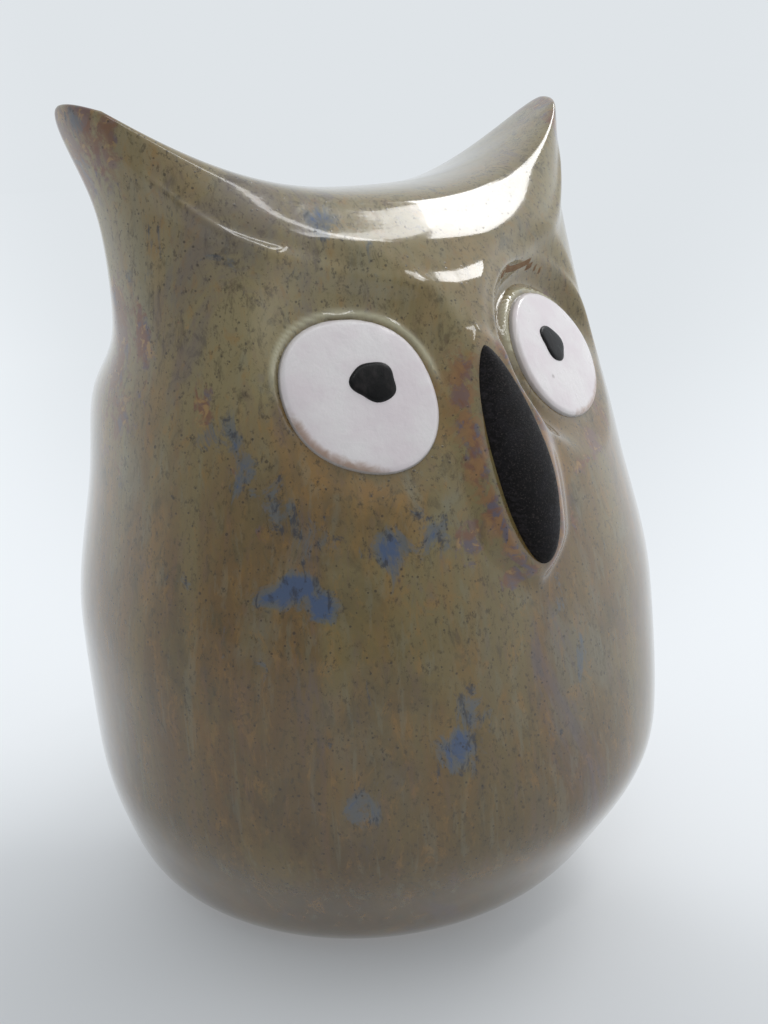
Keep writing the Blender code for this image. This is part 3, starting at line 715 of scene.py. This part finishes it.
def even_angles():
    """Column angles: twice as dense over the face as behind it."""
    front = np.linspace(-75, 75, 240, endpoint=False)
    back = np.linspace(75, 285, 160, endpoint=False)
    return np.radians(np.concatenate([front, back]))


def round_ring(angles, radius, z):
    return np.stack([radius * np.sin(angles), FOOT_MIDDLE_Y - radius * np.cos(angles),
                     np.full(len(angles), z)], -1)


def cavity_rings(angles):
    """The hollow's rings, from its floor up to its closed roof."""
    levels = np.linspace(0, 1, 44)
    heights = FLOOR_TOP + (CAVITY_TOP - FLOOR_TOP) * (0.5 - 0.5 * np.cos(math.pi * levels))
    half, front, back, middle = [ring_value(column, heights) for column in range(1, 5)]
    face_share = smooth_step((heights - FACE_WALL_Z) / FACE_WALL_BLEND)
    from_floor = np.clip((heights - FLOOR_TOP) / CAVITY_FLOOR_ROUND, 0, 1)
    into_roof = np.clip((heights - CAVITY_ROOF_Z) / (CAVITY_TOP - CAVITY_ROOF_Z), 0, 1)
    floor_round = np.sqrt(np.clip(1 - (1 - from_floor) ** 2, 0, 1))
    roof_round = np.sqrt(np.clip(1 - into_roof ** CAVITY_ROOF_POWER, 0, 1))
    shrink = (CAVITY_FLOOR_SHARE + (1 - CAVITY_FLOOR_SHARE) * floor_round) * roof_round
    depth_front = (front - WALL - (FACE_WALL - WALL) * face_share) * shrink
    depth_back = (back - WALL) * shrink
    rings = []
    for k, z in enumerate(heights):
        depth = np.where(np.cos(angles) > 0, depth_front[k], depth_back[k])
        rings.append(np.stack([(half[k] - WALL) * shrink[k] * np.sin(angles),
                               middle[k] - depth * np.cos(angles), np.full(len(angles), z)], -1))
    return rings


def slot_outline():
    """The coin slot's outline, a bar with round ends, as x and z."""
    radius, straight, steps = SLOT_HEIGHT / 2, SLOT_LENGTH / 2 - SLOT_HEIGHT / 2, 20
    outline = []
    for side, start in ((1, -90), (-1, 90)):
        for k in range(steps + 1):
            turn = math.radians(start + 180 * k / steps)
            outline.append((side * straight + radius * math.cos(turn), SLOT_Z + radius * math.sin(turn)))
    return outline


def soften_slot_edge(points):
    """Roll the clay inward around the slot, so that the glaze can run over its edge."""
    straight = SLOT_LENGTH / 2 - SLOT_HEIGHT / 2
    beyond = np.maximum(np.abs(points[..., 0]) - straight, 0)
    distance = np.hypot(beyond, points[..., 2] - SLOT_Z) - SLOT_HEIGHT / 2
    near = (points[..., 1] > 15) & (distance < SLOT_ROLL)
    share = np.clip(1 - distance / SLOT_ROLL, 0, 1)
    drop = np.where(near, SLOT_ROLL * (1 - np.sqrt(1 - share ** 2 * 0.98)), 0)
    return points - drop[..., None] * np.array([0.0, 0.93, 0.37])


def make_body():
    """The shell as one lofted skin: outside, foot, bung hole and hollow, then the slot cut through."""
    angles = even_angles()
    heights = even_rows()[::-1]
    outside = soften_slot_edge(owl_skin(heights[:, None], angles[None, :]))
    rings = list(outside)
    for radius, z in ((34.6, 0.0), (30.1, 0.0), (29.7, 0.2), (FOOT_RECESS_RADIUS, 0.6),
                      (FOOT_RECESS_RADIUS, 2.9), (29.3, 3.25), (29.0, FOOT_RECESS_DEPTH),
                      (23.0, FOOT_RECESS_DEPTH), (17.2, FOOT_RECESS_DEPTH), (16.8, 3.6),
                      (BUNG_HOLE_RADIUS, 4.0), (BUNG_HOLE_RADIUS, 8.4), (16.8, 8.8), (17.2, FLOOR_TOP)):
        rings.append(round_ring(angles, radius, z))
    rings += cavity_rings(angles)
    count = len(angles)
    body = mesh_object("owl_body", np.concatenate(rings), grid_faces(len(rings), count))

    outline = slot_outline()
    sides = len(outline)
    core_points = [(x, y, z) for y in (10.0, 62.0) for x, z in outline]
    core_faces = grid_faces(2, sides)
    core_faces += [tuple(reversed(range(sides))), tuple(range(sides, 2 * sides))]
    core = mesh_object("slot_core", core_points, core_faces)
    change = body.modifiers.new("slot", "BOOLEAN")
    change.operation, change.solver, change.object = "DIFFERENCE", "EXACT", core
    bpy.context.view_layer.update()
    cut_mesh = bpy.data.meshes.new_from_object(body.evaluated_get(bpy.context.evaluated_depsgraph_get()))
    body.modifiers.clear()
    body.data = cut_mesh
    bpy.data.objects.remove(core, do_unlink=True)
    finish_body(body)
    return body


def finish_body(body):
    """Paint the shell's masks, part glazed skin from bare clay, and keep crisp edges crisp."""
    mesh = body.data
    mesh.materials.clear()
    mesh.materials.append(glaze_material())
    mesh.materials.append(clay_material())
    points = mesh_points(mesh)
    stand = convexity(mesh, 60)
    set_attribute(mesh, "blue", blobs(points, BLUE_PLACES))
    set_attribute(mesh, "rust", blobs(points, RUST_PLACES))
    half = ring_value(1, points[:, 2])
    high = smooth_step((points[:, 2] - 60) / 22) * (points[:, 2] < 103)
    side_edge = smooth_step((np.abs(points[:, 0]) / half - 0.955) / 0.04) * high
    tips = smooth_step((np.abs(points[:, 0]) - 33) / 7) * smooth_step((points[:, 2] - 101) / 8)
    along = (BEAK_TOP_Z - points[:, 2]) / (BEAK_TOP_Z - BEAK_LOW_Z)
    past_beak = np.abs(points[:, 0]) - beak_half_width(along)
    beside = np.exp(-((past_beak - 2.0) / 1.9) ** 2) * smooth_step((along + 0.12) / 0.2)
    beside = beside * smooth_step((1.12 - along) / 0.1) * (points[:, 1] < -20)
    set_attribute(mesh, "mound", 0.75 * beside)
    ridge = np.maximum(smooth_step((stand - 0.12) / 0.9), 0.70 * np.maximum(side_edge, tips))
    from_eye = np.linalg.norm(points - eye_frame(1)[0], axis=1)
    ridge = ridge * smooth_step((from_eye - 15) / 5)
    set_attribute(mesh, "ridge", spread(ridge, mesh_edges(mesh), 60))
    # Painted highlight: a thin arc just past each eye disc's rim, on its upper side
    lip_highlight = np.zeros(len(points))
    for side in (-1, 1):
        middle, across, up, outward = eye_frame(side)
        offset = points - middle
        sideways, upward, height = offset @ across, offset @ up, offset @ outward
        past_rim = np.hypot(sideways, upward) - eye_reach(side, np.arctan2(upward, sideways))
        turn = np.arctan2(upward, sideways)
        close = np.exp(-((past_rim - 0.8) / 0.42) ** 2) * smooth_step((np.sin(turn) + 0.1) / 0.5)
        lip_highlight = np.maximum(lip_highlight, np.where(np.abs(height) < 6, close, 0))
    set_attribute(mesh, "lip_highlight", lip_highlight)

    centers = np.zeros(len(mesh.polygons) * 3, np.float32)
    mesh.polygons.foreach_get("center", centers)
    normals = np.zeros(len(mesh.polygons) * 3, np.float32)
    mesh.polygons.foreach_get("normal", normals)
    centers = centers.reshape(-1, 3) / MM
    normals = normals.reshape(-1, 3)
    from_axis = np.hypot(centers[:, 0], centers[:, 1] - FOOT_MIDDLE_Y)
    foot = (centers[:, 2] < 0.9) | ((from_axis < FOOT_RECESS_RADIUS + 0.3) & (centers[:, 2] < 9.6))
    inward = ((centers - np.array([0.0, 0.0, 50.0])) * normals).sum(1) < 0
    hollow = inward & (centers[:, 2] > 3) & (centers[:, 2] < CAVITY_TOP + 1) & (from_axis < 44)
    mesh.polygons.foreach_set("material_index", (foot | hollow).astype(np.int32))
    mesh.shade_smooth()
    mesh.set_sharp_from_angle(angle=math.radians(50))
    mesh.update()


def patch(name, ground, across, up, inward, outline, over, sink, rings, sides):
    """A laid-on piece: its top stands over(share) above the ground, and it is sunk in below."""
    middle, tree = ground
    top, under, shares = [], [], []
    for ring in range(rings + 1):
        share = math.sin(0.5 * math.pi * ring / rings)
        for side in range(sides):
            turn = 2 * math.pi * side / sides
            u, v = outline(turn)
            start = middle + share * (u * across + v * up) - 30 * inward
            hit, _, _, _ = tree.ray_cast(Vector(start), Vector(inward))
            base = np.array(hit)
            top.append(base - over(share) * inward)
            under.append(base + sink * inward)
            shares.append((share, turn))
    count = len(top)
    faces = grid_faces(rings + 1, sides)
    faces += [face[::-1] for face in grid_faces(rings + 1, sides, count)]
    rim = rings * sides
    for side in range(sides):
        after = (side + 1) % sides
        faces.append((rim + side, rim + after, count + rim + after, count + rim + side))
    made = mesh_object(name, top + under, faces, merge=False)
    return made, np.array(shares + shares)


def weld(made):
    """Join the middle points of a patch, which lie on each other."""
    work = bmesh.new()
    work.from_mesh(made.data)
    bmesh.ops.remove_doubles(work, verts=work.verts, dist=1e-6)
    bmesh.ops.recalc_face_normals(work, faces=work.faces)
    work.to_mesh(made.data)
    work.free()
    made.data.shade_smooth()


def tree_of(mesh):
    points = mesh_points(mesh)
    return BVHTree.FromPolygons(points.tolist(), [tuple(f.vertices) for f in mesh.polygons])


def rounded_edge(share, thick, edge, soft):
    """Height over the ground of a pressed disc: a low dome that rolls down at its rim."""
    dome = edge + (thick - edge) * math.sqrt(max(0.0, 1 - share ** 2))
    roll = min(1.0, (1 - share) / soft)
    return dome * math.sqrt(max(0.0, 1 - (1 - roll) ** 2))


def make_eye(side, word, skin_tree, white, black):
    middle, across, up, outward = eye_frame(side)

    def eye_rim(turn):
        reach = float(eye_reach(side, turn))
        return reach * math.cos(turn), reach * math.sin(turn)

    def eye_over(share):
        return rounded_edge(share, *EYE_EDGE)

    disc, shares = patch("owl_eye_white_" + word, (middle, skin_tree), across, up, -outward,
                         eye_rim, eye_over, 0.4, 40, 120)
    share, turn = shares[:, 0], shares[:, 1]
    # The rim mask carries painted shade on the disc's edge
    set_attribute(disc.data, "rim", smooth_step((share - 0.965) / 0.03))
    low_corner = smooth_step((np.cos(turn - EYE_BLEED_TURN[side]) - 0.35) / 0.6)
    set_attribute(disc.data, "bleed", low_corner * smooth_step((share - 0.74) / 0.26))
    weld(disc)
    disc.data.materials.append(white)
    finish_piece(disc, "eye_white_" + word)

    disc_tree = tree_of(disc.data)
    shift_across, shift_up = PUPIL_SHIFT[side]
    pupil_middle = middle + shift_across * across + shift_up * up
    half_wide, half_tall, tilt = PUPIL_SIZE[side]

    def pupil_rim(turn):
        uneven = 1 + 0.07 * math.cos(3 * turn + PUPIL_LUMP[side]) + 0.035 * math.cos(5 * turn + 1.1)
        u, v = half_wide * uneven * math.cos(turn), half_tall * uneven * math.sin(turn)
        return u * math.cos(tilt) - v * math.sin(tilt), u * math.sin(tilt) + v * math.cos(tilt)

    def pupil_over(share):
        return rounded_edge(share, *PUPIL_EDGE)

    pupil, _ = patch("owl_pupil_" + word, (pupil_middle, disc_tree), across, up, -outward,
                     pupil_rim, pupil_over, 0.2, 16, 64)
    weld(pupil)
    pupil.data.materials.append(black)
    finish_piece(pupil, "pupil_" + word)


def make_beak(skin_tree, black):
    """The beak: an almond laid on the mound, crowned along its middle."""
    length = BEAK_TOP_Z - BEAK_LOW_Z
    middle = np.array([0.0, -40.0, (BEAK_TOP_Z + BEAK_LOW_Z) / 2])

    def almond(turn):
        along = 0.5 - 0.5 * math.sin(turn)
        side = 1 if math.cos(turn) >= 0 else -1
        return side * float(beak_half_width(along)), length * (0.5 - along)

    def beak_over(share):
        return rounded_edge(share, *BEAK_EDGE)

    beak, shares = patch("owl_beak", (middle, skin_tree), np.array([1.0, 0.0, 0.0]),
                         np.array([0.0, 0.0, 1.0]), np.array([0.0, 1.0, 0.0]),
                         almond, beak_over, 0.4, 30, 120)
    set_attribute(beak.data, "rim", smooth_step((shares[:, 0] - 0.80) / 0.15))
    weld(beak)
    beak.data.materials.append(black)
    finish_piece(beak, "beak")


def turned(name, profile, sides=144):
    """A turned solid about the bung's axis from (radius, z) points, closed on the axis."""
    turns = np.arange(sides) * 2 * math.pi / sides
    rings = [np.stack([r * np.cos(turns), FOOT_MIDDLE_Y + r * np.sin(turns), np.full(sides, z)], -1)
             for r, z in profile]
    return mesh_object(name, np.concatenate(rings), grid_faces(len(rings), sides))


def rounded_profile(corners, steps=5):
    """A profile from (radius, z, fillet) corners, with each corner's fillet drawn as a short curve."""
    profile = []
    for k, (r, z, fillet) in enumerate(corners):
        here = np.array([r, z])
        if fillet == 0 or k in (0, len(corners) - 1):
            profile.append((r, z))
            continue
        before = np.array(corners[k - 1][:2]) - here
        after = np.array(corners[k + 1][:2]) - here
        start = here + before / np.linalg.norm(before) * fillet
        end = here + after / np.linalg.norm(after) * fillet
        for step in range(steps + 1):
            u = step / steps
            point = (1 - u) ** 2 * start + 2 * u * (1 - u) * here + u * u * end
            profile.append((float(point[0]), float(point[1])))
    return profile


def make_stopper():
    """The rubber bung: flange, ribbed skirt, and a cup with a grip bar across it."""
    corners = [
        (0.0, 9.5, 0), (13.9, 9.5, 0.8), (13.9, 0.9, 0.5), (15.6, 0.9, 0.15), (15.9, 1.15, 0.15),
        (16.2, 0.9, 0.15), (20.0, 0.9, 0.6), (20.0, 2.9, 0.5), (15.9, 2.9, 0.3),
        (15.9, 5.1, 0.2), (16.3, 6.0, 0.3), (15.9, 6.9, 0.2), (15.9, 9.1, 0.2), (16.3, 10.0, 0.3),
        (15.9, 10.9, 0.2), (15.6, 12.0, 0.5), (0.0, 12.0, 0),
    ]
    bung = turned("rubber_bung", rounded_profile(corners))
    low, high, half_width, half_length = 1.7, 10.2, 2.0, 14.6
    bar = bmesh.new()
    bmesh.ops.create_cube(bar, size=1.0)
    for vert in bar.verts:
        vert.co = Vector((vert.co.x * 2 * half_length, FOOT_MIDDLE_Y + vert.co.y * 2 * half_width,
                          (low + high) / 2 + vert.co.z * (high - low))) * MM
    long_edges = [e for e in bar.edges
                  if abs(e.verts[0].co.x - e.verts[1].co.x) > 0.01 and e.verts[0].co.z < 0.005]
    bmesh.ops.bevel(bar, geom=long_edges, offset=0.9 * MM, segments=5, affect="EDGES", profile=0.5)
    bar_mesh = bpy.data.meshes.new("grip_bar")
    bar.to_mesh(bar_mesh)
    bar.free()
    grip = bpy.data.objects.new("grip_bar", bar_mesh)
    bpy.context.scene.collection.objects.link(grip)
    change = bung.modifiers.new("grip", "BOOLEAN")
    change.operation, change.solver, change.object = "UNION", "EXACT", grip
    bpy.context.view_layer.update()
    joined = bpy.data.meshes.new_from_object(bung.evaluated_get(bpy.context.evaluated_depsgraph_get()))
    bung.modifiers.clear()
    bung.data = joined
    bpy.data.objects.remove(grip, do_unlink=True)
    joined.materials.clear()
    joined.materials.append(rubber_material())
    stand = convexity(joined, 6)
    set_attribute(joined, "ridge", smooth_step((stand - 0.02) / 0.12))
    joined.shade_smooth()
    joined.set_sharp_from_angle(angle=math.radians(32))
    finish_piece(bung, "stopper", body="bung")


def finish_piece(piece, node, body="owl"):
    """Tell the frame which body a piece rides on, which CAD node it replaces."""
    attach(piece, body)
    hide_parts(node)


# ---------------------------------------------------------------- stage, light and camera

PAPER = (240, 241, 243)
ROOM = srgb(223, 228, 232)
FLOOR_RADIUS, FLOOR_DROP, FLOOR_ROUGHNESS = 4.0, 0.0001, 0.8
# The room's dark side, near the camera, and how bright the room and the floor are there
DARK_SIDE, DARK_SIDE_HEIGHT = math.radians(-45), math.radians(10)
DARK_FROM, DARK_TO, DARK_SHARE, DARK_FLOOR = 0.10, 0.92, 0.42, 0.60
# Azimuth of the middle, how tight it is, and how much brighter
BRIGHT_SIDES = ((math.radians(-158), 0.72, 0.3), (math.radians(72), 0.55, 0.28))
# Azimuth and elevation in degrees, distance, width and height in metres, and brightness
SOFTBOXES = {
    "window": (90, 47, 0.9, 0.42, 0.18, 6.8),
    "strip_side": (60, 58, 0.7, 0.55, 0.045, 4.6),
    "strip_front": (5, 68, 0.7, 0.75, 0.045, 4.6),
}
SOFTBOX_AIM = Vector((0.0, 0.0, 0.07))
VIEW_AZIMUTH, VIEW_ELEVATION, VIEW_ROLL = math.radians(-34.5), math.radians(17.9), math.radians(-2.55)
VIEW_AIM, VIEW_DISTANCE = Vector((0.0, 3.43, 58.88)), 176.32
LENS, SENSOR, SHIFT_X, SHIFT_Y, CLIP_START = 38.24, 36.0, 0.0295, -0.0152, 0.01


def make_floor():
    """A pale sweep of paper that doesn't hide the owl's underside; it glows with painted light, as
    bright as the room far away.
    """
    bpy.ops.mesh.primitive_circle_add(vertices=96, radius=FLOOR_RADIUS, fill_type="NGON")
    floor = bpy.context.object
    floor.name = "floor"
    floor.location.z = -FLOOR_DROP
    n = Nodes("pale_floor")
    n.finish(srgb(*PAPER), FLOOR_ROUGHNESS)
    # Painted light: the floor glows with the room's colour, more the farther it is from the owl, and
    # near the owl the glow lightens the owl's shadow
    far = n.tree.nodes.new("ShaderNodeVectorMath")
    far.operation = "LENGTH"
    n.tree.links.new(n.place, far.inputs[0])
    glow = n.tree.nodes.new("ShaderNodeEmission")
    glow.inputs["Color"].default_value = ROOM
    blend = n.tree.nodes.new("ShaderNodeMixShader")
    n.tree.links.new(n.ramp(far.outputs["Value"], -0.3, 0.5, smooth=False), blend.inputs["Fac"])

    def facing(azimuth):
        toward = n.tree.nodes.new("ShaderNodeVectorMath")
        toward.operation = "DOT_PRODUCT"
        n.tree.links.new(n.place, toward.inputs[0])
        toward.inputs[1].default_value = (math.sin(azimuth), -math.cos(azimuth), 0.0)
        return n.math("DIVIDE", toward.outputs["Value"], far.outputs["Value"])

    # Painted light and shade: the glow is dimmer toward the dark near side and brighter toward the
    # bright sides
    strength = n.ramp(facing(DARK_SIDE), DARK_FROM, DARK_TO, 1.0, DARK_FLOOR)
    for side, start, extra in BRIGHT_SIDES:
        strength = n.math("ADD", strength, n.ramp(facing(side), start, 1.0, 0.0, extra))
    n.tree.links.new(strength, glow.inputs["Strength"])
    n.tree.links.new(n.shader.outputs["BSDF"], blend.inputs[1])
    n.tree.links.new(glow.outputs["Emission"], blend.inputs[2])
    below = n.tree.nodes.new("ShaderNodeMixShader")
    geometry = n.tree.nodes.new("ShaderNodeNewGeometry")
    clear = n.tree.nodes.new("ShaderNodeBsdfTransparent")
    n.tree.links.new(geometry.outputs["Backfacing"], below.inputs["Fac"])
    n.tree.links.new(blend.outputs["Shader"], below.inputs[1])
    n.tree.links.new(clear.outputs["BSDF"], below.inputs[2])
    n.tree.links.new(below.outputs["Shader"], n.tree.nodes["Material Output"].inputs["Surface"])
    floor.data.materials.append(n.material)


def softbox(name, azimuth, elevation, distance, width, height, radiance):
    """An area light that faces the owl from an azimuth (0 is in front) and an elevation."""
    a, e = math.radians(azimuth), math.radians(elevation)
    away = Vector((math.sin(a) * math.cos(e), -math.cos(a) * math.cos(e), math.sin(e)))
    light = bpy.data.lights.new(name, "AREA")
    light.shape = "RECTANGLE"
    light.size, light.size_y = width, height
    light.energy = radiance * math.pi * width * height
    lamp = bpy.data.objects.new(name, light)
    lamp.location = SOFTBOX_AIM + away * distance
    lamp.rotation_euler = away.to_track_quat("Z", "Y").to_euler()
    bpy.context.scene.collection.objects.link(lamp)


def make_light():
    """A pale room that is darker on the near side, with a window high on the owl's left."""
    world = bpy.data.worlds.new("studio")
    bpy.context.scene.world = world
    world.use_nodes = True
    nodes, links = world.node_tree.nodes, world.node_tree.links
    direction = nodes.new("ShaderNodeTexCoord").outputs["Generated"]

    def facing(azimuth, elevation, low, high, to_low, to_high):
        """A brightness that changes smoothly with how nearly a direction is the one given."""
        toward = nodes.new("ShaderNodeVectorMath")
        toward.operation = "DOT_PRODUCT"
        links.new(direction, toward.inputs[0])
        level = math.cos(elevation)
        toward.inputs[1].default_value = (math.sin(azimuth) * level, -math.cos(azimuth) * level,
                                          math.sin(elevation))
        shade = nodes.new("ShaderNodeMapRange")
        shade.interpolation_type = "SMOOTHSTEP"
        links.new(toward.outputs["Value"], shade.inputs["Value"])
        limits = {"From Min": low, "From Max": high, "To Min": to_low, "To Max": to_high}
        for word, limit in limits.items():
            shade.inputs[word].default_value = limit
        return shade.outputs["Result"]

    strength = facing(DARK_SIDE, DARK_SIDE_HEIGHT, DARK_FROM, DARK_TO, 1.0, DARK_SHARE)
    for side, start, extra in BRIGHT_SIDES:
        both = nodes.new("ShaderNodeMath")
        links.new(strength, both.inputs[0])
        links.new(facing(side, 0.0, start, 1.0, 0.0, extra), both.inputs[1])
        strength = both.outputs["Value"]
    sky = nodes["Background"]
    sky.inputs["Color"].default_value = ROOM
    links.new(strength, sky.inputs["Strength"])
    for name, settings in SOFTBOXES.items():
        softbox(name, *settings)


def make_camera():
    """The photographed view: close, from the owl's right and a little above."""
    level = math.cos(VIEW_ELEVATION)
    back = Vector((math.sin(VIEW_AZIMUTH) * level, -math.cos(VIEW_AZIMUTH) * level,
                   math.sin(VIEW_ELEVATION)))
    right = Vector((math.cos(VIEW_AZIMUTH), math.sin(VIEW_AZIMUTH), 0.0))
    up = back.cross(right)
    tilted_right = math.cos(VIEW_ROLL) * right + math.sin(VIEW_ROLL) * up
    tilted_up = math.cos(VIEW_ROLL) * up - math.sin(VIEW_ROLL) * right
    lens = bpy.data.cameras.new("camera")
    lens.lens = LENS
    lens.sensor_width = SENSOR
    lens.shift_x = SHIFT_X
    lens.shift_y = SHIFT_Y
    lens.clip_start = CLIP_START
    camera = bpy.data.objects.new("camera", lens)
    place = (VIEW_AIM + back * VIEW_DISTANCE) * MM
    rows = [[tilted_right[i], tilted_up[i], back[i], place[i]] for i in range(3)]
    camera.matrix_world = Matrix(rows + [[0, 0, 0, 1]])
    bpy.context.scene.collection.objects.link(camera)
    bpy.context.scene.camera = camera


def main():
    make_camera()
    body = make_body()
    skin_tree = tree_of(body.data)
    finish_piece(body, "body")
    white, black = slip_white_material(), black_slip_material()
    make_eye(-1, "right", skin_tree, white, black)
    make_eye(1, "left", skin_tree, white, black)
    make_beak(skin_tree, beak_material())
    make_stopper()
    make_floor()
    make_light()
    bpy.context.scene.view_settings.view_transform = "Standard"


main()
